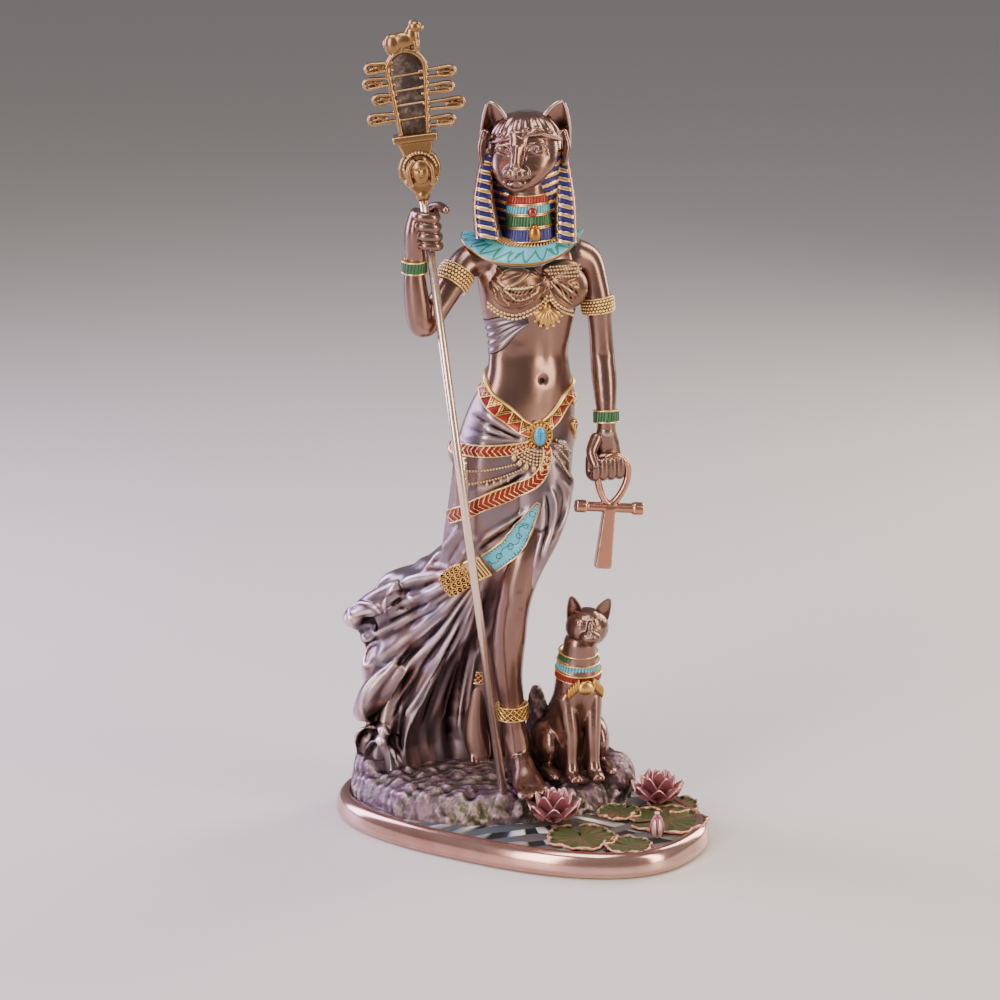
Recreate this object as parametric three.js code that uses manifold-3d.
// Cat-headed goddess figurine with a sistrum staff, an ankh and a sitting cat, in bronze-finished resin.
// Millimetres, +Z up, the figure looks along -Y. The origin is the middle of the base's underside.
import * as THREE from "three";
import { mergeVertices } from "three/addons/utils/BufferGeometryUtils.js";
import Module from "manifold-3d";

const wasm = await Module();
wasm.setup();

// Driving dimensions

// Oval base with a rounded rim around a sunk water surface
const BASE_LENGTH = 141.4;
const BASE_WIDTH = 86;
const BASE_SQUARENESS = 2.5;
const BASE_TURN = -31;
const RIM_HEIGHT = 9;
const RIM_INSET = 5.4;
const WATER_LEVEL = 7.8;

// Rock mound on the base
const MOUND_TOP = 17.4;
const MOUND_CENTRE = [-13, 14];

// Staff
const SHAFT_DIAMETER = 3;
const STAFF_FOOT = [-6.3, -15.3, 17.6];
const STAFF_GRIP = [-31.6, -22.4, 219];
const STAFF_HEAD_START = 231;

// Ankh
const ANKH_LOOP_THICKNESS = 2.6;
const ANKH_LOOP_WIDTH = 13.4;
const ANKH_BAR_LENGTH = 24.6;
const ANKH_BAR_DIAMETER = 3.8;
const ANKH_STEM_LENGTH = 22;
const ANKH_STEM_WIDTH = 6.2;
const ANKH_STEM_DEPTH = 3.6;

// Clearance round the two pieces that the hands hold
const HAND_CLEARANCE = 0.35;

const degrees = (angle) => (angle * Math.PI) / 180;
const point = (x, y, z) => new THREE.Vector3(x, y, z);
const mix = (a, b, t) => a + (b - a) * t;

// A closed geometry as a solid. Only positions are kept, so that shared corners merge.
function solidOf(geometry) {
  const plain = geometry.clone();
  plain.deleteAttribute("normal");
  plain.deleteAttribute("uv");
  const merged = mergeVertices(plain, 1e-4);
  return new wasm.Manifold(
    new wasm.Mesh({
      numProp: 3,
      vertProperties: merged.attributes.position.array,
      triVerts: new Uint32Array(merged.index.array),
    }),
  );
}

const join = (solids) => solids.reduce((whole, solid) => whole.add(solid));

// A closed skin over rings of points, with a fan over each end.
// The rings turn counter-clockwise seen from their far end.
function skin(rings) {
  const count = rings[0].length;
  const corners = rings.flat();
  const faces = [];
  for (let row = 0; row < rings.length - 1; row++)
    for (let i = 0; i < count; i++) {
      const a = row * count + i;
      const b = row * count + ((i + 1) % count);
      faces.push(a, b, b + count, a, b + count, a + count);
    }
  [rings[0], rings[rings.length - 1]].forEach((ring, end) => {
    const hub = corners.length;
    const first = end ? (rings.length - 1) * count : 0;
    corners.push(ring.reduce((sum, p) => sum.add(p), point(0, 0, 0)).divideScalar(count));
    for (let i = 0; i < count; i++) {
      const a = first + i;
      const b = first + ((i + 1) % count);
      faces.push(...(end ? [a, b, hub] : [b, a, hub]));
    }
  });
  const geometry = new THREE.BufferGeometry().setFromPoints(corners).setIndex(faces);
  return solidOf(geometry);
}

// Smooth values between stations. A station is a row of numbers, and place runs from 0 to the last station.
function blend(stations, place) {
  const last = stations.length - 1;
  const i = Math.min(Math.floor(place), last - 1);
  const t = place - i;
  const row = (k) => stations[Math.max(0, Math.min(last, k))];
  return row(i).map((p1, n) => {
    const p2 = row(i + 1)[n];
    const m1 = (p2 - row(i - 1)[n]) / 2;
    const m2 = (row(i + 2)[n] - p1) / 2;
    return (
      (2 * t ** 3 - 3 * t ** 2 + 1) * p1 +
      (t ** 3 - 2 * t ** 2 + t) * m1 +
      (3 * t ** 2 - 2 * t ** 3) * p2 +
      (t ** 3 - t ** 2) * m2
    );
  });
}

// Level oval rings from stations [z, centre x, centre y, half width, half depth, turn in degrees].
function ovalRing([z, cx, cy, wide, deep, turn = 0], sides, shape = () => 1) {
  const yaw = degrees(turn);
  return Array.from({ length: sides }, (_, i) => {
    const angle = (2 * Math.PI * i) / sides;
    const swell = shape(angle, z);
    const u = wide * swell * Math.cos(angle);
    const v = deep * swell * Math.sin(angle);
    return point(cx + u * Math.cos(yaw) - v * Math.sin(yaw), cy + u * Math.sin(yaw) + v * Math.cos(yaw), z);
  });
}

function column(stations, sides, rows, shape) {
  const rings = Array.from({ length: rows + 1 }, (_, i) =>
    ovalRing(blend(stations, (i * (stations.length - 1)) / rows), sides, shape),
  );
  return skin(rings);
}

// A limb along stations [x, y, z, half width, half depth], square to its path, with domed ends.
// The half width lies square to the facing direction, and the half depth lies along it.
function limb(stations, { sides = 8, rows = stations.length - 1, facing = [0, -1, 0], dome = 0.8 } = {}) {
  const at = (i) => blend(stations, (i * (stations.length - 1)) / rows);
  const spine = Array.from({ length: rows + 1 }, (_, i) => at(i));
  const along = (i) => {
    const a = spine[Math.max(0, i - 1)];
    const b = spine[Math.min(rows, i + 1)];
    return point(b[0] - a[0], b[1] - a[1], b[2] - a[2]).normalize();
  };
  const ring = (i, shift, scale) => {
    const [x, y, z, wide, deep] = spine[i];
    const path = along(i);
    const side = path.clone().cross(point(...facing)).normalize();
    const front = side.clone().cross(path).normalize();
    return Array.from({ length: sides }, (_, n) => {
      const angle = (2 * Math.PI * n) / sides;
      return point(x, y, z)
        .addScaledVector(path, shift)
        .addScaledVector(side, -wide * scale * Math.cos(angle))
        .addScaledVector(front, deep * scale * Math.sin(angle));
    });
  };
  const rings = spine.map((_, i) => ring(i, 0, 1));
  if (dome > 0) {
    const first = Math.min(spine[0][3], spine[0][4]) * dome;
    const final = Math.min(spine[rows][3], spine[rows][4]) * dome;
    rings.unshift(ring(0, -0.75 * first, 0.6));
    rings.push(ring(rows, 0.75 * final, 0.6));
  }
  return skin(rings);
}

function ball([x, y, z], [rx, ry, rz], { turn = 0, tilt = 0, lean = 0, wide = 12, high = 8 } = {}) {
  const geometry = new THREE.SphereGeometry(1, wide, high);
  geometry.rotateX(Math.PI / 2);
  geometry.scale(rx, ry, rz);
  geometry.rotateX(degrees(tilt));
  geometry.rotateY(degrees(lean));
  geometry.rotateZ(degrees(turn));
  geometry.translate(x, y, z);
  return solidOf(geometry);
}

// A straight round or many-sided bar between two points.
function bar(from, to, radius, { sides = 8, radiusEnd = radius } = {}) {
  const start = point(...from);
  const end = point(...to);
  const geometry = new THREE.CylinderGeometry(radiusEnd, radius, start.distanceTo(end), sides);
  geometry.translate(0, start.distanceTo(end) / 2, 0);
  geometry.applyQuaternion(
    new THREE.Quaternion().setFromUnitVectors(point(0, 1, 0), end.clone().sub(start).normalize()),
  );
  geometry.translate(...from);
  return solidOf(geometry);
}

// A band round a limb or the neck: a short stout bar
const band = (from, to, radius, sides = 9) => bar(from, to, radius, { sides });

// Body from the collar down to the thighs: [z, centre x, centre y, half width, half depth, turn]
const BODY = [
  [112, -5, 2, 19, 13.5, 28],
  [122, -4, 2.2, 21.8, 13.6, 28],
  [134, -3, 2.4, 22.8, 13.2, 28],
  [144, -1.6, 2.4, 21.8, 12.6, 28],
  [152, -0.4, 2, 20.8, 11.4, 28],
  [159, 1, 1.6, 18.6, 10.4, 26],
  [166, 2.5, 1.6, 15.8, 9, 24],
  [173, 2.6, 2, 14.8, 8.2, 23],
  [180, 3, 2.2, 15.2, 8.6, 21],
  [187, 2.8, 2, 16.8, 9.4, 20],
  [194, 2.6, 1.4, 17.8, 9.8, 19],
  [201, 2.6, 1, 18.6, 9.4, 18],
  [207, 2.8, 1, 18.4, 8.2, 18],
  [212, 2.9, 1, 13, 6.6, 18],
  [216, 2.7, 1, 8, 6.2, 14],
];

// The body's front at a place seen from ahead, pushed out by a given amount.
function bodyFront(x, z, out = 0) {
  let i = 0;
  while (i < BODY.length - 2 && BODY[i + 1][0] < z) i++;
  const place = i + (z - BODY[i][0]) / (BODY[i + 1][0] - BODY[i][0]);
  const [, cx, cy, wide, deep, turn] = blend(BODY, Math.max(0, Math.min(BODY.length - 1, place)));
  const a = (wide + out) * Math.cos(degrees(turn));
  const b = (deep + out) * Math.sin(degrees(turn));
  const reach = Math.hypot(a, b);
  const angle = -Math.acos(Math.max(-1, Math.min(1, (x - cx) / reach))) - Math.atan2(b, a);
  const u = (wide + out) * Math.cos(angle);
  const v = (deep + out) * Math.sin(angle);
  return point(
    cx + u * Math.cos(degrees(turn)) - v * Math.sin(degrees(turn)),
    cy + u * Math.sin(degrees(turn)) + v * Math.cos(degrees(turn)),
    z,
  );
}

// A raised strip on the body's front. Its route is [x, z, half width] as seen from ahead.
function strip(route, { raise = 1.1, rows = route.length - 1, sink = 1.5, lift = 0 } = {}) {
  const rings = [];
  for (let i = 0; i <= rows; i++) {
    const place = (i * (route.length - 1)) / rows;
    const [x, z, half] = blend(route, place);
    const [x0, z0] = blend(route, Math.max(0, place - 0.2));
    const [x1, z1] = blend(route, Math.min(route.length - 1, place + 0.2));
    const length = Math.hypot(x1 - x0, z1 - z0);
    const across = [-(z1 - z0) / length, (x1 - x0) / length];
    const edge = (side, out) => bodyFront(x + side * half * across[0], z + side * half * across[1], out);
    const up = lift + raise;
    const down = lift - sink;
    rings.push([edge(1, down), edge(1, up * 0.8), edge(0, up), edge(-1, up * 0.8), edge(-1, down)]);
  }
  return skin(rings);
}

// The train's ten points lie in these directions from the body's middle, so that they can go on up the hips.
const HIP_DIRECTIONS = [150, 170, 194, 230, 262, 298, 336, 18, 72, 118];
const hipRing = (z, cx, cy, wide, deep, turn) =>
  HIP_DIRECTIONS.map((direction) => {
    const off = degrees(direction - turn);
    const angle = Math.atan2(wide * Math.sin(off), deep * Math.cos(off));
    const [u, v] = [wide * Math.cos(angle), deep * Math.sin(angle)];
    const yaw = degrees(turn);
    return [cx + u * Math.cos(yaw) - v * Math.sin(yaw), cy + u * Math.sin(yaw) + v * Math.cos(yaw)];
  });

// Train and lower skirt: level outlines through ten points, from the left tip by the front to the back
const TRAIN = [
  [
    15,
    [-53, 22], [-52, 14], [-47, 10], [-42, 10.5], [-33, 16],
    [-22, 19], [-8, 22], [-6, 33], [-28, 44], [-48, 38],
  ],
  [
    30,
    [-56, 22], [-53, 15], [-47, 11], [-41, 8.5], [-33, 15],
    [-22, 18.5], [-6, 21], [-5, 33], [-28, 45], [-50, 39],
  ],
  [
    45,
    [-55, 26], [-52, 18], [-43, 12], [-34, 6.5], [-27, 14],
    [-18, 17], [-3, 18], [-3, 31], [-26, 44], [-50, 40],
  ],
  [
    60,
    [-57, 28], [-52, 19], [-40, 11], [-27, 4], [-21, 11],
    [-13, 13.5], [-1, 14], [-2, 28], [-24, 42], [-50, 41],
  ],
  [
    71,
    [-61, 28], [-55, 20], [-38, 9], [-21, 1], [-15, 7],
    [-8, 9.5], [0, 10], [0, 24], [-22, 39], [-51, 41],
  ],
  [
    83,
    [-51, 27], [-46, 17], [-34, 7], [-19, -3], [-12, 0],
    [-4, 2], [6, 3], [7, 18], [-14, 33], [-40, 37],
  ],
  [
    96,
    [-34, 17], [-32, 8], [-26, 0], [-16, -7], [-8, -8.6],
    [1, -8.6], [10, -4], [12, 10], [-4, 22], [-22, 25],
  ],
  [108, ...hipRing(108, -6.4, 3.6, 21.4, 14.6, 22)],
  [120, ...hipRing(120, -4.4, 2.6, 22, 14, 26)],
  [132, ...hipRing(132, -3.2, 2.4, 21.8, 12.6, 28)],
];
const TRAIN_FOLDS = 9;
const TRAIN_FOLD_DEPTH = 1.1;

function outline(ring, sides, fold) {
  const curve = new THREE.CatmullRomCurve3(ring, true, "catmullrom", 0.5);
  return Array.from({ length: sides }, (_, i) => {
    const t = i / sides;
    const p = curve.getPoint(t);
    const ahead = curve.getTangent(t);
    const out = point(ahead.y, -ahead.x, 0).normalize();
    return p.addScaledVector(out, fold(t, p.z));
  });
}

function train() {
  const rows = 9;
  const sides = 32;
  const flat = TRAIN.map(([z, ...corners]) => [z, ...corners.flat()]);
  const rings = Array.from({ length: rows + 1 }, (_, i) => {
    const [z, ...numbers] = blend(flat, (i * (flat.length - 1)) / rows);
    const ring = [];
    for (let n = 0; n < numbers.length; n += 2) ring.push(point(numbers[n], numbers[n + 1], z));
    const depth = TRAIN_FOLD_DEPTH * Math.max(0, Math.min(1, (112 - z) / 30));
    return outline(ring, sides, (t) => depth * Math.cos(2 * Math.PI * (TRAIN_FOLDS * t + z / 90)));
  });
  return skin(rings);
}

// Front leg, bare from the knee down: [z, x, y, half width, half depth]
const FRONT_LEG = [
  [26, -0.6, 3.4, 4.8, 5.6],
  [32, -1.6, 3.2, 4.5, 5],
  [38, -2.4, 2.6, 4.2, 4.7],
  [46, -3, 1.6, 4.5, 5],
  [56, -3.9, 0, 5.3, 6.2],
  [66, -4, -2, 6, 7.1],
  [73, -3, -3.6, 6, 6.8],
  [80, -1.9, -5, 5.9, 6.4],
  [87, -0.6, -6, 6.5, 7],
  [94, 1, -5.4, 7.4, 8],
  [104, 3.4, -3.6, 9, 9.4],
  [116, 6, -1, 10.4, 11],
];

function foot(heel, turn, size) {
  // Stations along the foot: [distance from the heel, height, half width, half height]
  const stations = [
    [0, 3.2, 2.8, 2.6],
    [4, 5.2, 4.2, 4.9],
    [9, 6.2, 4.4, 6],
    [15, 4.8, 4.7, 4.6],
    [20, 3.2, 5.8, 3],
    [24.5, 2.2, 6.2, 2.1],
  ];
  const [dx, dy] = [Math.sin(degrees(turn)), -Math.cos(degrees(turn))];
  const place = (s, side, z) => [
    heel[0] + size * (dx * s - dy * side),
    heel[1] + size * (dy * s + dx * side),
    heel[2] + size * z,
  ];
  const sole = limb(
    stations.map(([s, z, wide, high]) => [...place(s, 0, z), wide * size, high * size]),
    { sides: 6, rows: 5, facing: [0, 0, 1] },
  );
  const toes = [-4.6, -1.9, 0.4, 2.6, 4.6].map((side, i) => {
    const reach = [30, 30.4, 29.4, 28, 26.4][i];
    const radius = [1.7, 1.35, 1.3, 1.2, 1.1][i] * size;
    const root = [...place(22, side * 0.9, 2.2), radius, radius];
    const tip = [...place(reach, side, 1.6), radius, radius];
    return limb([root, tip], { sides: 4, facing: [0, 0, 1] });
  });
  return join([sole, ...toes]);
}

// Back leg on its toes, with the heel raised: [x, y, z, half width, half depth]
const BACK_LEG = [
  [-14.2, 17.6, 20, 3.6, 1.6],
  [-15.6, 19.6, 25, 4.8, 2.9],
  [-16.2, 21, 33, 4.6, 3.8],
  [-15.6, 21.8, 42, 4.1, 4.6],
  [-14.6, 21.4, 51, 3.9, 4.4],
  [-14.6, 19, 62, 5, 5.6],
  [-14.4, 14, 76, 6, 6.6],
];

// Arms: [x, y, z, half width, half depth]
const RIGHT_ARM = [
  [-13.5, -2.5, 207, 6, 6.4],
  [-18.6, -4.6, 206.4, 5.6, 5.9],
  [-22.6, -8.6, 201.6, 5.1, 5.2],
  [-27.6, -12, 194, 4.7, 4.7],
  [-32, -15, 187.4, 4.5, 4.7],
  [-34.4, -16.6, 187, 4.4, 4.6],
  [-35.4, -17.8, 193, 4.5, 4.5],
  [-36.2, -18.8, 201, 4, 4],
  [-36.4, -19.6, 208.6, 3.3, 3.3],
  [-36, -20.4, 213, 3.5, 3.4],
];
const LEFT_ARM = [
  [18, 6, 207, 6, 6.4],
  [22.6, 7.4, 204.8, 5.4, 5.9],
  [25.2, 7.2, 197, 4.9, 5.1],
  [26.7, 6.8, 189.7, 4.6, 4.7],
  [27.6, 7.6, 181, 4.2, 4.4],
  [28.2, 8, 172.6, 4.3, 4.6],
  [29, 6.8, 164, 4.5, 4.7],
  [29.5, 5.2, 156.6, 4, 4.1],
  [29.8, 4, 149.6, 3.3, 3.5],
  [29.8, 3.2, 144.6, 3.4, 3.5],
];

// The staff's axis at a height
const staffAt = (z) => {
  const t = (z - STAFF_FOOT[2]) / (STAFF_GRIP[2] - STAFF_FOOT[2]);
  return [mix(STAFF_FOOT[0], STAFF_GRIP[0], t), mix(STAFF_FOOT[1], STAFF_GRIP[1], t), z];
};

// A finger bent round the staff, from the back of the hand over the front to the palm
function fingerOnStaff(z, from, to, radius, reach) {
  const [x, y] = staffAt(z);
  const steps = 3;
  const stations = Array.from({ length: steps + 1 }, (_, i) => {
    const angle = degrees(mix(from, to, i / steps));
    const [out, across] = [reach * Math.cos(angle), reach * Math.sin(angle)];
    return [x + out, y + across, z + mix(0.6, -0.6, i / steps), radius, radius];
  });
  return limb(stations, { sides: 4, facing: [0, 0, 1], dome: 0 });
}

function rightHand() {
  const fingers = [
    [225.2, 1.9],
    [221.9, 1.9],
    [218.6, 1.8],
    [215.4, 1.6],
  ].map(([z, radius]) => fingerOnStaff(z, 175, 385, radius, 4));
  const back = limb(
    [
      [-36, -20.2, 211, 3.4, 3.2],
      [-36.4, -21, 216, 3.4, 4.6],
      [-36.2, -21.6, 221, 3.2, 5],
      [-35.4, -22.4, 226, 2.4, 3.6],
    ],
    { sides: 6 },
  );
  const thumb = limb(
    [
      [-35.2, -19, 221, 2.2, 2.2],
      [-32, -17.6, 226, 2, 2],
      [-28, -20, 228, 1.7, 1.7],
      [-25.6, -23, 227.2, 1.5, 1.5],
    ],
    { sides: 6 },
  );
  const palm = ball([-33.4, -18.6, 219.6], [3, 3, 5.4], { wide: 8, high: 6 });
  return join([back, thumb, palm, ...fingers]);
}

// Ankh frame: its crossing lies at this place, turned and leaning as it hangs
const ANKH_PLACE = [30.9, -1, 118.6];
const ANKH_TURN = 14;
const ANKH_LEAN = -6;
const ANKH_LOOP_HEIGHT = 19.5;
const ANKH_LOOP_RINGS = 16;

// The loop is a teardrop tube of the given radius
function ankhLoop(radius, sides = 6) {
  const half = ANKH_LOOP_WIDTH / 2 - ANKH_LOOP_THICKNESS / 2;
  const route = Array.from({ length: ANKH_LOOP_RINGS }, (_, i) => {
    const t = i / ANKH_LOOP_RINGS;
    const up = (1 - Math.cos(2 * Math.PI * t)) / 2;
    const swell = Math.sin(2 * Math.PI * t) * (0.35 + 0.85 * Math.sqrt(up));
    const rise = (ANKH_LOOP_HEIGHT - ANKH_BAR_DIAMETER / 2) * up;
    return point(half * swell * 1.02, 0, ANKH_BAR_DIAMETER / 2 - 1 + rise);
  });
  const curve = new THREE.CatmullRomCurve3(route, true);
  return new THREE.TubeGeometry(curve, ANKH_LOOP_RINGS, radius, sides, true);
}

// Puts a geometry in the ankh's hanging place
function hang(geometry) {
  geometry.rotateY(degrees(-ANKH_LEAN));
  geometry.rotateZ(degrees(ANKH_TURN));
  geometry.translate(...ANKH_PLACE);
  return geometry;
}

function ankh() {
  const loop = solidOf(hang(ankhLoop(ANKH_LOOP_THICKNESS / 2)));
  const half = ANKH_BAR_LENGTH / 2;
  const barParts = [
    [-half, -half + 4, 1.22],
    [-half + 4, half - 4, 1],
    [half - 4, half, 1.22],
  ].map(([from, to, swell]) => {
    const radius = (ANKH_BAR_DIAMETER / 2) * swell;
    const geometry = new THREE.CylinderGeometry(radius, radius, to - from + 0.4, 8);
    geometry.rotateZ(Math.PI / 2);
    geometry.translate((from + to) / 2, 0, 0);
    return solidOf(hang(geometry));
  });
  const bottom = -ANKH_STEM_LENGTH;
  const outlineShape = new THREE.Shape();
  outlineShape.moveTo(-ANKH_STEM_WIDTH * 0.4, 0);
  outlineShape.lineTo(-ANKH_STEM_WIDTH / 2, bottom);
  outlineShape.lineTo(ANKH_STEM_WIDTH / 2, bottom);
  outlineShape.lineTo(ANKH_STEM_WIDTH * 0.4, 0);
  const bevel = 0.7;
  const stem = new THREE.ExtrudeGeometry(outlineShape, {
    depth: ANKH_STEM_DEPTH - 2 * bevel,
    bevelSize: bevel,
    bevelOffset: -bevel,
    bevelThickness: bevel,
    bevelSegments: 1,
  });
  stem.translate(0, 0, -ANKH_STEM_DEPTH / 2 + bevel);
  stem.rotateX(Math.PI / 2);
  return join([loop, ...barParts, solidOf(hang(stem))]);
}

function leftHand() {
  const turn = degrees(20);
  const place = (u, v, z) => [
    29.4 + u * Math.cos(turn) - v * Math.sin(turn),
    0.6 + u * Math.sin(turn) + v * Math.cos(turn),
    z,
  ];
  const back = limb(
    [
      [29.8, 3.4, 145, 3.5, 3.3],
      [29.8, 4, 141, 4.6, 3.4],
      [29.6, 4.2, 136, 5.6, 3.2],
      [29.4, 3.8, 132.6, 5.8, 2.6],
    ],
    { sides: 8 },
  );
  const fingers = [-4.6, -1.5, 1.6, 4.7].map((u, i) => {
    const radius = [1.7, 1.8, 1.8, 1.7][i];
    const reach = 3.5;
    const middle = 133.2;
    const steps = 3;
    const stations = Array.from({ length: steps + 1 }, (_, n) => {
      const angle = degrees(mix(40, -220, n / steps));
      return [...place(u, reach * Math.cos(angle), middle + 4 * Math.sin(angle)), radius, radius];
    });
    return limb(stations, { sides: 4, facing: [Math.cos(turn), Math.sin(turn), 0], dome: 0 });
  });
  const thumb = limb(
    [
      [26.4, 1.6, 143, 2.3, 2.3],
      [24.6, -1.6, 138.6, 2, 2],
      [26, -4.4, 134.4, 1.7, 1.7],
    ],
    { sides: 6 },
  );
  const core = ball([29.4, 1, 135.4], [5.2, 3.4, 3], { wide: 8, high: 6 });
  return join([back, thumb, core, ...fingers]);
}

// Headdress: cloth over the back of the head, down to the shoulder blades
const HEADDRESS = [
  [199, 3.2, 11.4, 8.5, 2.2, 12],
  [204, 3.2, 10.4, 12, 3.6, 12],
  [211, 2.6, 8.6, 14.6, 6, 6],
  [218, 2.2, 6.6, 15, 7.6, 2],
  [226, 1.8, 5.4, 14.2, 8.6, -4],
  [235, 1.4, 4.2, 13.2, 10, -10],
  [243, 1.2, 3.4, 12.8, 11, -10],
  [249, 1.4, 2.6, 11.6, 11, -10],
  [254, 1.8, 1.6, 8.6, 8.8, -10],
  [256.4, 2, 1, 3.6, 4, -10],
];

function lappet(route) {
  return limb(route, { sides: 4, rows: 4, facing: [0, -1, 0], dome: 0 });
}

function ear(base, tip, inner, thick) {
  // A hollowed triangle: a four-sided shell that narrows to its tip
  const b = point(...base);
  const t = point(...tip);
  const i = point(...inner);
  const rows = 2;
  const rings = Array.from({ length: rows + 1 }, (_, n) => {
    const s = n / rows;
    const width = 0.95 * (1 - s) ** 0.85 + 0.05;
    const middle = b.clone().lerp(i, 0.5).lerp(t, s);
    const half = i.clone().sub(b).multiplyScalar(0.5 * width);
    const depth = thick * (0.35 + 0.65 * (1 - s));
    return [
      middle.clone().sub(half),
      middle.clone().addScaledVector(half, -0.45).add(point(0, -depth * 0.15, 0)),
      middle.clone().addScaledVector(half, 0.45).add(point(0, -depth * 0.15, 0)),
      middle.clone().add(half),
      middle.clone().addScaledVector(half, 0.5).add(point(0, depth, 0)),
      middle.clone().addScaledVector(half, -0.5).add(point(0, depth, 0)),
    ];
  });
  return skin(rings);
}

// Face from the chin to the brow, inside the headdress
const HEAD_TURN = -10;
const FACE = [
  [231.4, -1.4, -8, 3.4, 4.4, HEAD_TURN],
  [233.6, -1, -7.2, 6.6, 6.8, HEAD_TURN],
  [236.6, -0.4, -5.6, 9.4, 8.2, HEAD_TURN],
  [240, 0.3, -4.4, 11.3, 9.2, HEAD_TURN],
  [244, 0.8, -3.4, 11.7, 9.6, HEAD_TURN],
  [248, 1, -2.4, 11.4, 9.6, HEAD_TURN],
  [252, 1.2, -1.4, 9.6, 8.8, HEAD_TURN],
  [255.6, 1.4, -0.4, 5.4, 5.6, HEAD_TURN],
];
const EYE_RADII = [3.3, 1.2, 1.5];
const EYES = [
  [[-6.1, -10.6, 246], -8],
  [[4.1, -12.1, 245.8], 8],
];

function head() {
  return join([
    column(FACE, 10, 7),
    ball([-2, -13, 238.2], [4.9, 4.4, 3.5], { turn: HEAD_TURN, wide: 8, high: 6 }),
    ball([-1.7, -12.2, 235], [3.2, 3.4, 2.3], { turn: HEAD_TURN, wide: 6, high: 5 }),
    limb(
      [
        [-0.9, -11.6, 250, 2.4, 1.2],
        [-1.5, -12.8, 246, 1.5, 1.4],
        [-2.1, -14.6, 242, 2, 1.6],
      ],
      { sides: 6 },
    ),
    ...EYES.map(([place, lean]) => ball(place, EYE_RADII, { turn: HEAD_TURN, lean, wide: 6, high: 4 })),
    ear([-13.2, 1, 246], [-11.8, -2, 260.6], [-4.4, -3, 255], 3),
    ear([6, -1.6, 254.4], [14.2, 1.4, 260.6], [16.2, 4.4, 246.4], 3),
    column(HEADDRESS, 11, 7),
    lappet([
      [-11.6, -1, 243, 2.2, 4],
      [-12.6, -1.6, 236, 2.9, 5.6],
      [-13, -3, 227, 3.8, 7],
      [-11.4, -6.4, 215.8, 4.7, 7],
    ]),
    lappet([
      [13.4, 3.4, 243, 2.2, 4],
      [14.2, 3, 236, 2.9, 4.8],
      [15, 1.4, 226, 3.7, 5.6],
      [15.2, -1.4, 213.4, 4, 6],
    ]),
  ]);
}

function neckAndCollar() {
  // Throat with four bands, each a step wider than the one above: [lower edge, upper edge, radius]
  const bands = [
    [214.2, 218.2, 8.5],
    [219.2, 222.6, 7.9],
    [223.6, 226.1, 7.5],
    [227, 229.4, 7.2],
  ];
  const groove = 0.7;
  const axis = (z) => [2 + (230 - z) * 0.05, -0.4];
  const throat = column(
    [
      [208, ...axis(208), 9, 7.6],
      ...bands.flatMap(([low, high, radius]) => [
        [low - 0.1, ...axis(low), radius - groove, radius - groove],
        [low, ...axis(low), radius, radius],
        [high, ...axis(high), radius, radius],
        [high + 0.1, ...axis(high), radius - groove, radius - groove],
      ]),
      [233, ...axis(233), 6.4, 6.4],
    ].map((row) => [...row, 0]),
    8,
    bands.length * 4 + 1,
  );
  const gem = ball([3.6, -8.4, 224.2], [1.9, 1.2, 1.9], { wide: 5, high: 4 });
  const drop = ball([4.4, -9.2, 217], [2.2, 1.4, 2.8], { wide: 5, high: 4 });
  // The broad collar: rings from the throat out over the shoulders, thick at the edge
  const collarRows = [
    [208, 2.9, 12, 9, 3],
    [208.9, 0.4, 20.6, 13.8, 4.8],
    [210.6, 0.4, 21, 14.2, 4.6],
    [212.6, 1.6, 15.6, 11.6, 2.6],
    [214.4, 2.9, 10.4, 8.8, 0.5],
    [214, 2.9, 8.6, 7.6, 0],
  ];
  const rings = collarRows.map(([z, middle, wide, deep, droop]) =>
    ovalRing([z, middle, 1.4, wide, deep, 16], 15).map((p) => {
      const ahead = Math.max(0, (1.4 - p.y) / deep);
      const side = Math.abs(p.x - middle) / wide;
      p.z += droop * (1.2 * side - 0.62 * ahead);
      return p;
    }),
  );
  return join([throat, gem, drop, skin(rings)]);
}

// Length of each petal of the pendant under the bust
const PENDANT_PETAL = 5.4;

function bust() {
  const cups = [
    ball([-1.4, -8.4, 199.4], [8.4, 6.6, 7.2], { turn: 12, wide: 9, high: 6 }),
    ball([14.6, -2.6, 198.2], [8, 6.6, 7], { turn: 30, wide: 9, high: 6 }),
  ];
  // Under-bust band: beads all round, thicker at the front
  const under = column(
    [
      [186.4, 2.7, 1.8, 17.4, 10.2, 20],
      [188.4, 2.7, 1.6, 18, 10.8, 20],
      [190.6, 2.7, 1.4, 17.8, 10.6, 19],
    ],
    16,
    2,
  );
  const clasp = bodyFront(9.2, 190, 1.4);
  const pendantPetals = [-50, 0, 50].map((angle) =>
    limb(
      [
        [clasp.x, clasp.y, clasp.z, 1.4, 1.3],
        [
          clasp.x + PENDANT_PETAL * Math.sin(degrees(angle)),
          clasp.y - 0.3,
          clasp.z - PENDANT_PETAL * Math.cos(degrees(angle)),
          1.7,
          1.2,
        ],
      ],
      { sides: 5 },
    ),
  );
  const knot = ball([clasp.x - 0.4, clasp.y + 0.4, 195], [2.2, 2.6, 4.6], { wide: 5, high: 4 });
  return join([...cups, under, knot, ...pendantPetals]);
}

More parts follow.
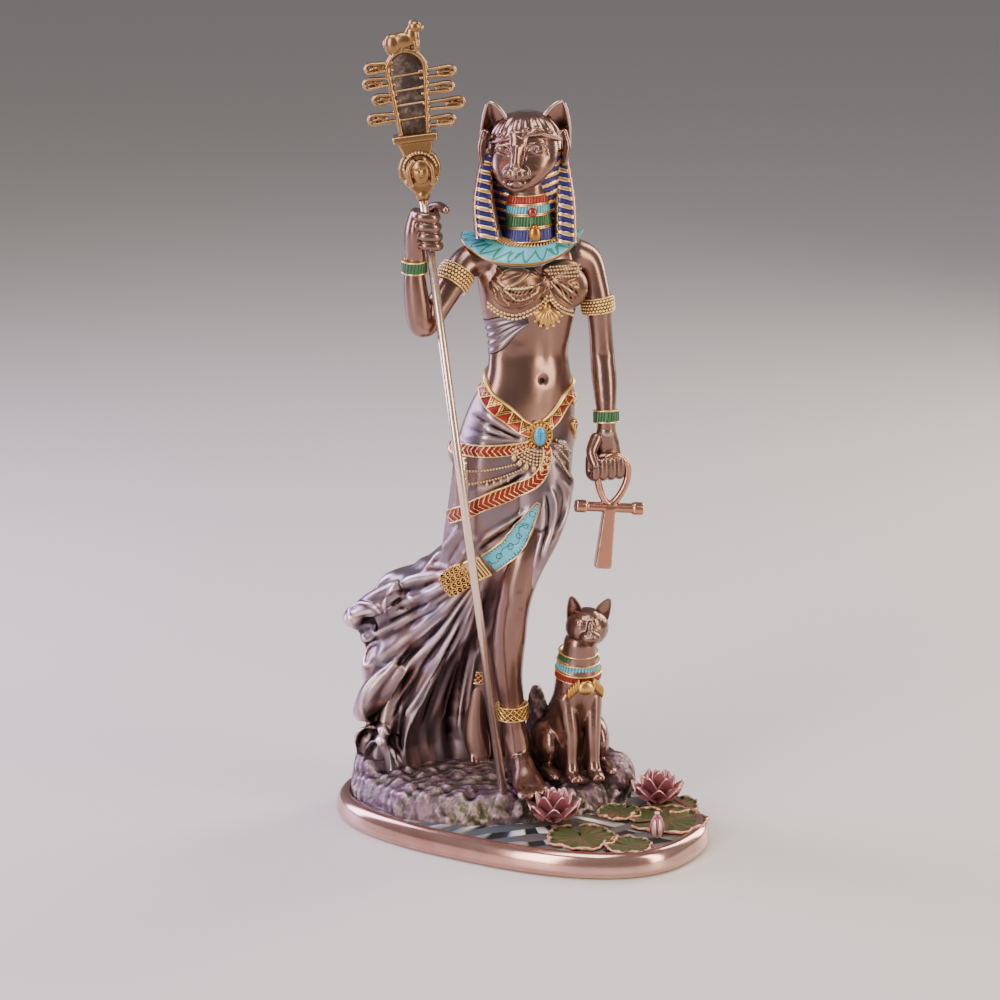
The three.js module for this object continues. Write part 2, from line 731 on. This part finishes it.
// Belt, buckle, sashes and the hanging panel. Routes are [x, z, half width] seen from ahead.
const BELT_RIGHT = [
  [-18.6, 164.6, 2.6],
  [-12, 159.4, 2.7],
  [-4, 153.6, 2.7],
  [2.4, 149.2, 2.4],
];
const BELT_LEFT = [
  [9.6, 148.8, 2.4],
  [14, 151.6, 2.4],
  [18.4, 156.4, 2.4],
  [20, 160, 2.4],
];
const SASH_UPPER = [
  [-22.6, 141, 2.2],
  [-14, 141.6, 2.3],
  [-4, 142, 2.2],
  [2.6, 143, 1.8],
];
const SASH_LOWER = [
  [-19.4, 119.6, 2.6],
  [-12, 124, 2.7],
  [-3, 127.4, 2.7],
  [4.4, 130.6, 2.4],
  [8.2, 136, 1.8],
  [8.6, 142, 1.5],
];
const CHAIN_UPPER = [
  [-21, 134.8, 0.8],
  [-10, 136.6, 0.8],
  [-1, 139.4, 0.8],
];
const CHAIN_LOWER = [
  [-19, 129.4, 0.8],
  [-9, 132, 0.8],
  [0.4, 136.6, 0.8],
];
// Middle of the buckle seen from ahead: [x, z]. Folds run out from it over the hips.
const BUCKLE = [6.4, 146.4];

function hipOrnaments() {
  const buckle = bodyFront(...BUCKLE, 1);
  const radial = [
    [-22, 153], [-20, 128], [18, 139], [15, 122],
  ].map(([x, z]) => {
    const fold = (share, radius) => {
      const p = bodyFront(mix(BUCKLE[0], x, share), mix(BUCKLE[1], z, share), -0.4);
      return [p.x, p.y, p.z, radius, radius];
    };
    return limb([fold(0.3, 0.8), fold(0.98, 2)], { sides: 4, facing: [0, 0, 1] });
  });
  const fringe = [-50, 0, 50].map((angle) => {
    const p = bodyFront(6.4 + 6.4 * Math.sin(degrees(angle)), 144 - 6.4 * Math.cos(degrees(angle)), 0.9);
    return ball([p.x, p.y, p.z], [1.4, 1.1, 1.6], { wide: 5, high: 4 });
  });
  return join([
    strip(BELT_RIGHT),
    strip(BELT_LEFT),
    strip(SASH_UPPER),
    strip(SASH_LOWER, { rows: 6 }),
    strip(CHAIN_UPPER, { raise: 0.8 }),
    strip(CHAIN_LOWER, { raise: 0.8 }),
    ball([buckle.x, buckle.y, buckle.z], [4.9, 2, 5.2], { turn: 14, wide: 9, high: 5 }),
    ball([buckle.x + 0.3, buckle.y - 1.2, buckle.z], [2.2, 1.9, 3.6], { turn: 14, wide: 6, high: 4 }),
    ball([6.6, buckle.y + 1, 140.6], [5.6, 1.8, 3.4], { turn: 14, wide: 7, high: 4 }),
    ...radial,
    ...fringe,
  ]);
}

// A raised strip on the skirt below the hips: [x, y, z, half width, half thickness]
function hanging(stations, facing = [-0.2, -1, 0]) {
  return limb(stations, { sides: 6, rows: stations.length + 1, facing, dome: 0.3 });
}

function skirt() {
  const panel = hanging([
    [5.6, -10.6, 128, 1.2, 1],
    [3.4, -11.6, 120, 2.6, 1.2],
    [-2, -12, 111, 4.4, 1.2],
    [-9.4, -11.4, 103, 5.4, 1.2],
  ]);
  const endPiece = hanging([
    [-9.6, -11.4, 102.8, 5.2, 1.4],
    [-15.6, -10, 98, 4.8, 1.4],
    [-22.4, -6.6, 94, 3.8, 1.4],
    [-27, -3, 92.4, 2.2, 1.2],
  ]);
  const thighCloth = limb(
    [
      [17, 4, 130, 3, 4.4],
      [13.6, 0.6, 118, 2.8, 5],
      [11.2, -3, 106, 2.4, 5],
      [9.4, -4.6, 95, 2, 4.6],
      [7.4, -4.8, 84, 1.4, 3.2],
      [6.4, -4.6, 80, 0.8, 1.8],
    ],
    { sides: 6, rows: 6, facing: [0.3, -1, 0] },
  );
  const ruffles = [
    [[-33, 6, 94, 4, 4], [-41, 13, 87, 4.4, 4.4], [-46, 18, 82, 4, 5]],
    [[-40, 12, 84, 4, 4.4], [-52, 20, 77, 4.4, 4.6], [-59.4, 25, 72.6, 2.8, 4.4]],
    [[-42, 12, 66, 3, 3.4], [-52, 18, 58, 3.6, 4], [-57, 23, 52, 2.6, 3.4]],
    [[-40, 12, 56, 3, 3], [-50, 16, 44, 3.6, 3.6], [-55.4, 19, 36, 2.8, 3.6]],
    [[-19, 14, 62, 1.6, 2], [-24, 17, 44, 1.8, 2.2], [-28, 18, 22, 1.8, 2.2]],
  ].map((stations) => limb(stations, { sides: 4, rows: 3, facing: [-0.5, -1, 0], dome: 0 }));
  const hem = limb(
    [
      [-56, 17, 20, 1.6, 2.4],
      [-53.6, 13, 27, 1.8, 2.6],
      [-50, 11, 29.6, 1.8, 2.6],
      [-46, 9.6, 26.6, 1.8, 2.4],
      [-43.6, 9.4, 20, 1.6, 2.2],
    ],
    { sides: 4, rows: 4, facing: [0, -1, 0], dome: 0 },
  );
  return join([train(), panel, endPiece, thighCloth, hem, ...ruffles]);
}

function goddess() {
  const body = column(BODY, 14, 13);
  const frontLeg = column(FRONT_LEG, 9, 12);
  const backLeg = limb(BACK_LEG, { sides: 8, rows: 7 });
  const rightArm = limb(RIGHT_ARM, { sides: 8, rows: 12 });
  const leftArm = limb(LEFT_ARM, { sides: 8, rows: 9 });
  const jewellery = [
    band([-21.4, -7.6, 204.2], [-24.6, -10.2, 199.4], 6.1),
    band([26.2, 7, 192.2], [26.9, 6.9, 186.8], 5.6),
    band([-36.4, -19.2, 205.6], [-36.4, -19.9, 210], 4.5),
    band([29.7, 4.6, 152.4], [29.8, 4, 148], 4.9),
    band([-2.9, 2, 40.4], [-3.1, 1.8, 45.6], 5.7),
    band([-14.8, 21.8, 49], [-14.6, 20.8, 54], 5),
  ];
  return join([
    body,
    bust(),
    neckAndCollar(),
    head(),
    frontLeg,
    foot([-2.2, 10, MOUND_TOP - 0.8], 14, 1),
    backLeg,
    skirt(),
    hipOrnaments(),
    rightArm,
    leftArm,
    rightHand(),
    leftHand(),
    ...jewellery,
  ]);
}

// Sitting cat beside her: its place on the mound, its turn, and sizes as shares of its height
const CAT_PLACE = [22, -1, 18.6];
const CAT_TURN = 16;
// Depth of its ears, as a share of its height
const CAT_EAR_DEPTH = 0.027;
const CAT_HEIGHT = 66;

function sittingCat() {
  const h = CAT_HEIGHT;
  const yaw = degrees(CAT_TURN);
  const place = (side, back, up) => [
    CAT_PLACE[0] + h * (side * Math.cos(yaw) - back * Math.sin(yaw)),
    CAT_PLACE[1] + h * (side * Math.sin(yaw) + back * Math.cos(yaw)),
    CAT_PLACE[2] + h * up,
  ];
  const part = (rows, options) =>
    limb(rows.map(([side, back, up, wide, deep]) => [...place(side, back, up), wide * h, deep * h]), options);
  const trunk = part(
    [
      [0, 0.3, 0.02, 0.15, 0.17],
      [0, 0.27, 0.14, 0.17, 0.19],
      [0, 0.2, 0.28, 0.145, 0.175],
      [0, 0.13, 0.42, 0.125, 0.15],
      [0, 0.085, 0.55, 0.12, 0.125],
      [0, 0.07, 0.66, 0.1, 0.1],
      [0, 0.05, 0.75, 0.09, 0.09],
    ],
    { sides: 8, rows: 5 },
  );
  const frontLegs = [-0.062, 0.062].map((side) =>
    part(
      [
        [side * 1.2, 0.06, 0.44, 0.055, 0.07],
        [side, 0.01, 0.26, 0.043, 0.05],
        [side, -0.005, 0.1, 0.034, 0.038],
        [side, -0.02, 0.03, 0.045, 0.06],
      ],
      { sides: 5, rows: 3, dome: 0 },
    ),
  );
  const lump = ([side, back, up], radii, { turn = CAT_TURN, wide = 5, high = 4 } = {}) =>
    ball(place(side, back, up), radii.map((radius) => radius * h), { turn, wide, high });
  const pairs = [-1, 1].flatMap((side) => [
    lump([side * 0.062, -0.045, 0.025], [0.046, 0.07, 0.032]),
    lump([side * 0.14, 0.24, 0.15], [0.075, 0.17, 0.14], { wide: 7 }),
    lump([side * 0.16, 0.06, 0.028], [0.045, 0.12, 0.034]),
  ]);
  const tail = part(
    [
      [0.02, 0.46, 0.05, 0.03, 0.03],
      [0.16, 0.44, 0.04, 0.03, 0.03],
      [0.24, 0.3, 0.035, 0.028, 0.028],
      [0.25, 0.14, 0.035, 0.024, 0.024],
    ],
    { sides: 4, facing: [0, 0, 1], dome: 0 },
  );
  const headTurn = -6;
  const skull = lump([0.035, 0.04, 0.84], [0.118, 0.11, 0.108], { turn: headTurn, wide: 8, high: 5 });
  const muzzle = lump([0.02, -0.07, 0.81], [0.055, 0.05, 0.04], { turn: headTurn });
  const ears = [
    ear(place(-0.06, 0.087, 0.864), place(-0.049, 0.071, 1.009), place(0.011, 0.038, 0.927), CAT_EAR_DEPTH * h),
    ear(place(0.064, 0.026, 0.924), place(0.162, 0.039, 0.988), place(0.148, 0.043, 0.861), CAT_EAR_DEPTH * h),
  ];
  const collar = [
    [0.7, 0.65, 0.122],
    [0.65, 0.56, 0.144],
  ].map(([top, low, radius]) => band(place(0, 0.085, low), place(0, 0.075, top), radius * h, 7));
  const pectoral = lump([0, -0.05, 0.52], [0.1, 0.035, 0.055], { wide: 6 });
  return join([trunk, ...frontLegs, ...pairs, tail, skull, muzzle, ...ears, ...collar, pectoral]);
}

// Oval outline of the base, shrunk by an inset, with its long axis turned
function baseRing(inset, z, sides = 34) {
  const a = BASE_LENGTH / 2 - inset;
  const b = BASE_WIDTH / 2 - inset;
  const power = 2 / BASE_SQUARENESS;
  const yaw = degrees(BASE_TURN);
  return Array.from({ length: sides }, (_, i) => {
    const angle = (2 * Math.PI * i) / sides;
    const u = a * Math.sign(Math.cos(angle)) * Math.abs(Math.cos(angle)) ** power;
    const v = b * Math.sign(Math.sin(angle)) * Math.abs(Math.sin(angle)) ** power;
    return point(u * Math.cos(yaw) - v * Math.sin(yaw), u * Math.sin(yaw) + v * Math.cos(yaw), z);
  });
}

function base() {
  const profile = [
    [1.8, 0],
    [0, 3],
    [0.9, 6.6],
    [RIM_INSET - 1.8, RIM_HEIGHT],
    [RIM_INSET, WATER_LEVEL],
  ];
  return skin(profile.map(([inset, z]) => baseRing(inset, z)));
}

// Edge of the mound at the water, from the left front round to the right and the back
const MOUND_EDGE = [
  [-64, 17], [-59, 6], [-52, -3], [-43, -13], [-29, -19], [-14, -21.4], [3, -18], [14, -14], [25, -7.6],
  [33, 0], [40, 10], [41, 22], [33, 34], [17, 40], [-4, 46], [-24, 51], [-44, 52], [-58, 44], [-65, 31],
];

// Rock texture: a steady mix of waves, so that it never changes from run to run
const ruggedness = (x, y) =>
  Math.sin(0.55 * x + 1.3 * Math.sin(0.31 * y)) * 0.5 +
  Math.sin(0.71 * y - 0.42 * x + 1.7) * 0.35 +
  Math.sin(1.1 * x + 0.9 * y) * 0.25;

// Draws a place in towards the base's middle where it lies beyond the rim's inner edge.
function insideRim(x, y) {
  const yaw = degrees(BASE_TURN);
  const u = (x * Math.cos(yaw) + y * Math.sin(yaw)) / (BASE_LENGTH / 2 - RIM_INSET);
  const v = (y * Math.cos(yaw) - x * Math.sin(yaw)) / (BASE_WIDTH / 2 - RIM_INSET);
  const reach = (Math.abs(u) ** BASE_SQUARENESS + Math.abs(v) ** BASE_SQUARENESS) ** (1 / BASE_SQUARENESS);
  return reach > 1 ? [x / reach, y / reach] : [x, y];
}

function mound() {
  const sides = 28;
  const edge = new THREE.CatmullRomCurve3(MOUND_EDGE.map(([x, y]) => point(x, y, 0)), true);
  const rows = [
    [1, 3],
    [1, WATER_LEVEL + 0.4],
    [0.965, 12],
    [0.89, 15.8],
    [0.72, MOUND_TOP],
    [0.36, MOUND_TOP + 1.4],
  ];
  const rings = rows.map(([share, z], row) =>
    Array.from({ length: sides }, (_, i) => {
      const p = edge.getPoint(i / sides);
      const x = mix(MOUND_CENTRE[0], p.x, share);
      const y = mix(MOUND_CENTRE[1], p.y, share);
      const rough = row > 1 ? ruggedness(x, y) : 0;
      return point(...insideRim(x + rough * 0.9, y - rough * 0.7), z + rough * 0.9);
    }),
  );
  const stump = limb(
    [
      [8, 17, 14, 7, 6],
      [7, 15.6, 30, 5, 4.4],
      [6, 15, 42, 3.6, 3.2],
      [5.8, 14.8, 47, 2, 2],
    ],
    { sides: 6, rows: 4 },
  );
  const boulders = [
    ball([33, 14, 14], [9, 10, 9.5], { wide: 8, high: 5 }),
    ball([12, 19, 19], [10, 8, 9], { wide: 8, high: 5 }),
    ball([-52, 22, 16], [9, 12, 7.6], { wide: 8, high: 5 }),
    ball([STAFF_FOOT[0], STAFF_FOOT[1] + 1, MOUND_TOP - 3.4], [5, 4.4, 4.4], { wide: 7, high: 5 }),
  ];
  return join([skin(rings), stump, ...boulders]);
}

// A lily pad: a thin round leaf with a wavy rim and a notch towards its middle
function lilyPad([x, y], radius, notch, z = WATER_LEVEL - 0.6) {
  const shape = new THREE.Shape();
  const sides = 10;
  for (let i = 0; i <= sides; i++) {
    const angle = degrees(notch + 12) + (degrees(336) * i) / sides;
    const reach = radius * (1 + 0.05 * Math.sin(5 * angle + x) + 0.03 * Math.sin(9 * angle));
    shape[i ? "lineTo" : "moveTo"](x + reach * Math.cos(angle), y + reach * Math.sin(angle));
  }
  shape.lineTo(x + radius * 0.15 * Math.cos(degrees(notch)), y + radius * 0.15 * Math.sin(degrees(notch)));
  const geometry = new THREE.ExtrudeGeometry(shape, { depth: 1.9, bevelEnabled: false });
  geometry.translate(0, 0, z);
  return solidOf(geometry);
}

function petal([x, y, z], turn, lean, length, width) {
  const geometry = new THREE.SphereGeometry(1, 4, 3);
  geometry.rotateX(Math.PI / 2);
  const place = geometry.attributes.position;
  for (let i = 0; i < place.count; i++) {
    const up = place.getZ(i);
    const narrow = up > 0 ? 1 - 0.35 * up : 1;
    const across = (place.getX(i) * width * narrow) / 2;
    place.setXYZ(i, across, place.getY(i) * width * 0.22, ((up + 1) * length) / 2);
  }
  geometry.rotateX(degrees(lean));
  geometry.rotateZ(degrees(turn));
  geometry.translate(x, y, z);
  return solidOf(geometry);
}

function lotus(centre, size) {
  const rings = [
    [5, 56, 0.96, 0, 0.52],
    [3, 22, 0.98, 36, 0.56],
  ];
  const petals = rings.flatMap(([count, lean, length, start, width]) =>
    Array.from({ length: count }, (_, i) =>
      petal(centre, start + (360 * i) / count, lean, length * size, width * size),
    ),
  );
  const [x, y, z] = centre;
  const heart = size * 0.3;
  return join([ball([x, y, z + heart / 2], [heart, heart, heart], { wide: 6, high: 4 }), ...petals]);
}

function waterGarden() {
  return join([
    lilyPad([21, -35], 12.4, 100),
    lilyPad([37, -43], 8.4, 150),
    lilyPad([52, -17], 14, 200),
    lilyPad([35, -9], 8, 60),
    lilyPad([55, -1], 9, 250),
    lotus([11.6, -19.4, 10.4], 13),
    lotus([49.4, 3.6, 9.4], 13),
    petal([47.4, -33, 7], 0, 0, 10.4, 5.6),
    petal([47.4, -33, 7], 90, 0, 10.4, 5.4),
    band([47.4, -33, 5], [47.4, -33, 9], 1.4, 6),
  ]);
}

// Staff head, laid out along the staff's own axis from its start. Outlines are [across, up].
const KNOB_DIAMETER = 5.2;
const SHIELD_OUTLINE = [
  [-1.8, 2], [-7.4, 9.4], [-6.4, 13.2], [-3.4, 17],
  [3.8, 17], [6.8, 13.2], [7.2, 9.6], [2.4, 2],
];
const SHIELD_DEPTH = 5;
const SHIELD_FACE = { centre: [0.4, -2.6, 9.8], radii: [4, 3, 4.8] };
const SHIELD_LOCK = { out: 4.4, centre: [0.4, -2.6, 9], radii: [1.5, 1.5, 3.4] };
const BLOCK = { up: 16.6, height: 7.4, top: 6.6, bottom: 5.2, wide: 1.1, deep: 0.8 };
const ABACUS = { up: 21.2, size: [15, 8, 2.4] };
const ARCH_START = 22;
const ARCH_END = 51;
const ARCH_HALF = 5.4;
const ARCH_DEPTH = 3.4;
const ARCH_FRAME = 1.5;
const RECESS_DEPTH = 1.1;
const RUNG_START = 5.6;
const RUNG_STEP = 4.9;
const RUNGS = 4;
// Curls beside the arch: [side, height above the arch's foot, reach]
const CURLS = [
  [-1, 23.6, 14.2], [-1, 18.6, 15.4], [-1, 13, 13], [-1, 6.6, 15.4],
  [1, 19.8, 16.8], [1, 14.6, 15.6], [1, 9, 18.4], [1, 3.6, 14.6],
];
const CURL_HALF = 1.35;
const CURL_THICKNESS = 0.75;
// Small crouching cat on the arch, looking to the right: lumps as [centre, radii] above the arch's crown
const ARCH_CAT = [
  [[0, 0, 2], [4.8, 2.4, 3]],
  [[-3.4, 0, 1.8], [2.8, 2.6, 3.8]],
  [[4, 0, 3.8], [2.4, 2, 3.2]],
  [[5.4, -0.2, 6.4], [2.2, 1.9, 1.9]],
  [[3.4, 0, 0.2], [1.6, 2, 2.6]],
  [[7, -0.2, 5.8], [1.2, 1, 1]],
  [[4.8, -1.2, 8.2], [0.7, 0.6, 1.1]],
  [[4.8, 1, 8.2], [0.7, 0.6, 1.1]],
];

const staffLean = new THREE.Quaternion().setFromUnitVectors(
  point(0, 0, 1),
  point(...STAFF_GRIP).sub(point(...STAFF_FOOT)).normalize(),
);

// Distance along the leaning staff from its foot to the start of its head
const staffHeadStart = (STAFF_HEAD_START - STAFF_FOOT[2]) / point(0, 0, 1).applyQuaternion(staffLean).z;

function staffFrame(geometry) {
  geometry.applyQuaternion(staffLean);
  geometry.translate(...STAFF_FOOT);
  return solidOf(geometry);
}

// A place given along the staff's own axis
const onStaff = (x, y, up) => point(x, y, up).applyQuaternion(staffLean).add(point(...STAFF_FOOT)).toArray();

// A curl beside the arch: a hairpin of thick strip that runs out, turns round and comes back
function curl([side, height, reach]) {
  const root = ARCH_HALF - 1.4;
  const shoulder = reach - 1.6 * CURL_HALF;
  const route = [
    [root, CURL_HALF],
    [shoulder, CURL_HALF * 1.1],
    [reach - 0.6 * CURL_HALF, 0],
    [shoulder, -CURL_HALF * 1.1],
    [root, -CURL_HALF],
  ];
  const up = staffHeadStart + ARCH_START + height;
  return limb(
    route.map(([out, rise]) => [...onStaff(side * out, 0, up + rise), CURL_THICKNESS, 1.3]),
    { sides: 4, facing: [0, -1, 0], dome: 0 },
  );
}

// A round lump on the staff: its centre is given from the start of the staff head
function lump([x, y, up], radii, wide, high) {
  const geometry = new THREE.SphereGeometry(1, wide, high);
  geometry.scale(...radii);
  geometry.translate(x, y, staffHeadStart + up);
  return staffFrame(geometry);
}

// A flat outline [across, up] as a slab across the staff
function slab(shape, depth, ahead = 0) {
  const geometry = new THREE.ExtrudeGeometry(shape, { depth, bevelEnabled: false, curveSegments: 6 });
  geometry.translate(0, 0, ahead - depth / 2);
  geometry.rotateX(Math.PI / 2);
  geometry.translate(0, 0, staffHeadStart);
  return staffFrame(geometry);
}

function box([x, y, z], up) {
  const geometry = new THREE.BoxGeometry(x, y, z);
  geometry.translate(0, 0, staffHeadStart + up);
  return staffFrame(geometry);
}

// Outline of the arch, a little narrower at its foot, drawn in by an inset
function archShape(inset) {
  const shape = new THREE.Shape();
  const foot = ARCH_HALF * 0.95 - inset;
  const wide = ARCH_HALF * 1.28 - inset;
  shape.absarc(0, ARCH_END - wide - inset, wide, Math.PI, 0, true);
  shape.lineTo(foot, ARCH_START + inset * 0.5);
  shape.lineTo(-foot, ARCH_START + inset * 0.5);
  return shape;
}

function staff() {
  const shaft = new THREE.CylinderGeometry(SHAFT_DIAMETER / 2, SHAFT_DIAMETER / 2, staffHeadStart + 2, 8);
  shaft.rotateX(Math.PI / 2);
  shaft.translate(0, 0, (staffHeadStart + 2) / 2);
  const block = new THREE.CylinderGeometry(BLOCK.top, BLOCK.bottom, BLOCK.height, 4, 1);
  block.rotateX(Math.PI / 2);
  block.rotateZ(Math.PI / 4);
  block.scale(BLOCK.wide, BLOCK.deep, 1);
  block.translate(0, 0, staffHeadStart + BLOCK.up);
  const shield = new THREE.Shape(SHIELD_OUTLINE.map(([x, y]) => new THREE.Vector2(x, y)));
  const locks = [-1, 1].map((side) => {
    const [x, y, up] = SHIELD_LOCK.centre;
    return lump([x + side * SHIELD_LOCK.out, y, up], SHIELD_LOCK.radii, 6, 5);
  });
  const recesses = [-1, 1].map((side) => slab(archShape(ARCH_FRAME), RECESS_DEPTH, (side * ARCH_DEPTH) / 2));
  const rungs = Array.from({ length: RUNGS }, (_, i) =>
    box([1.74 * ARCH_HALF, ARCH_DEPTH - 0.5, 1], ARCH_START + RUNG_START + i * RUNG_STEP),
  );
  return join([
    slab(archShape(0), ARCH_DEPTH).subtract(join(recesses)),
    ...CURLS.map(curl),
    staffFrame(shaft),
    staffFrame(block),
    lump([0, 0, 1.6], [KNOB_DIAMETER / 2, KNOB_DIAMETER / 2, KNOB_DIAMETER / 2], 8, 4),
    slab(shield, SHIELD_DEPTH),
    lump(SHIELD_FACE.centre, SHIELD_FACE.radii, 8, 5),
    ...locks,
    box(ABACUS.size, ABACUS.up),
    ...rungs,
    ...ARCH_CAT.map(([[x, y, up], radii]) => lump([x, y, ARCH_END + up], radii, 6, 3)),
  ]);
}

// Room for the staff in the fist and in its socket on the mound, and for the ankh's loop in the other fist
function heldSpaces() {
  const radius = SHAFT_DIAMETER / 2 + HAND_CLEARANCE;
  return join([
    bar(staffAt(205), staffAt(236), radius),
    bar(STAFF_FOOT, staffAt(32), radius),
    solidOf(hang(ankhLoop(ANKH_LOOP_THICKNESS / 2 + HAND_CLEARANCE))),
  ]);
}

// Facets smaller than this are merged into their neighbours: finer on the held pieces than on the figure.
const FIGURE_TOLERANCE = 0.35;
const HELD_TOLERANCE = 0.2;

// The casting is solid right through: small voids sealed between overlapping lumps are filled.
function cast(solid) {
  const shells = solid.decompose();
  const bodies = shells.filter((shell) => shell.volume() > 0);
  if (bodies.length !== 1) throw new Error(`${bodies.length} loose bodies`);
  return bodies[0];
}

function nodeFrom(name, solid, tolerance, [colour, metalness, roughness], room) {
  const whole = cast(solid.asOriginal().simplify(tolerance));
  const mesh = (room ? cast(whole.subtract(room)) : whole).getMesh();
  const corners = mesh.vertProperties;
  const geometry = new THREE.BufferGeometry();
  geometry.setAttribute("position", new THREE.BufferAttribute(new Float32Array(corners), 3));
  geometry.setIndex(new THREE.BufferAttribute(mesh.triVerts, 1));
  geometry.computeVertexNormals();
  const material = new THREE.MeshStandardMaterial({ color: colour, metalness, roughness });
  const node = new THREE.Mesh(geometry, material);
  node.name = name;
  return node;
}

const figurine = new THREE.Group();
figurine.add(
  nodeFrom(
    "figure_and_base",
    join([base(), mound(), waterGarden(), sittingCat(), goddess()]),
    FIGURE_TOLERANCE,
    [0x8f6a5c, 0.8, 0.35],
    heldSpaces(),
  ),
  nodeFrom("sistrum_staff", staff(), HELD_TOLERANCE, [0xa97f63, 0.85, 0.35]),
  nodeFrom("ankh", ankh(), HELD_TOLERANCE, [0xd9a08c, 0.85, 0.3]),
);

export default figurine;
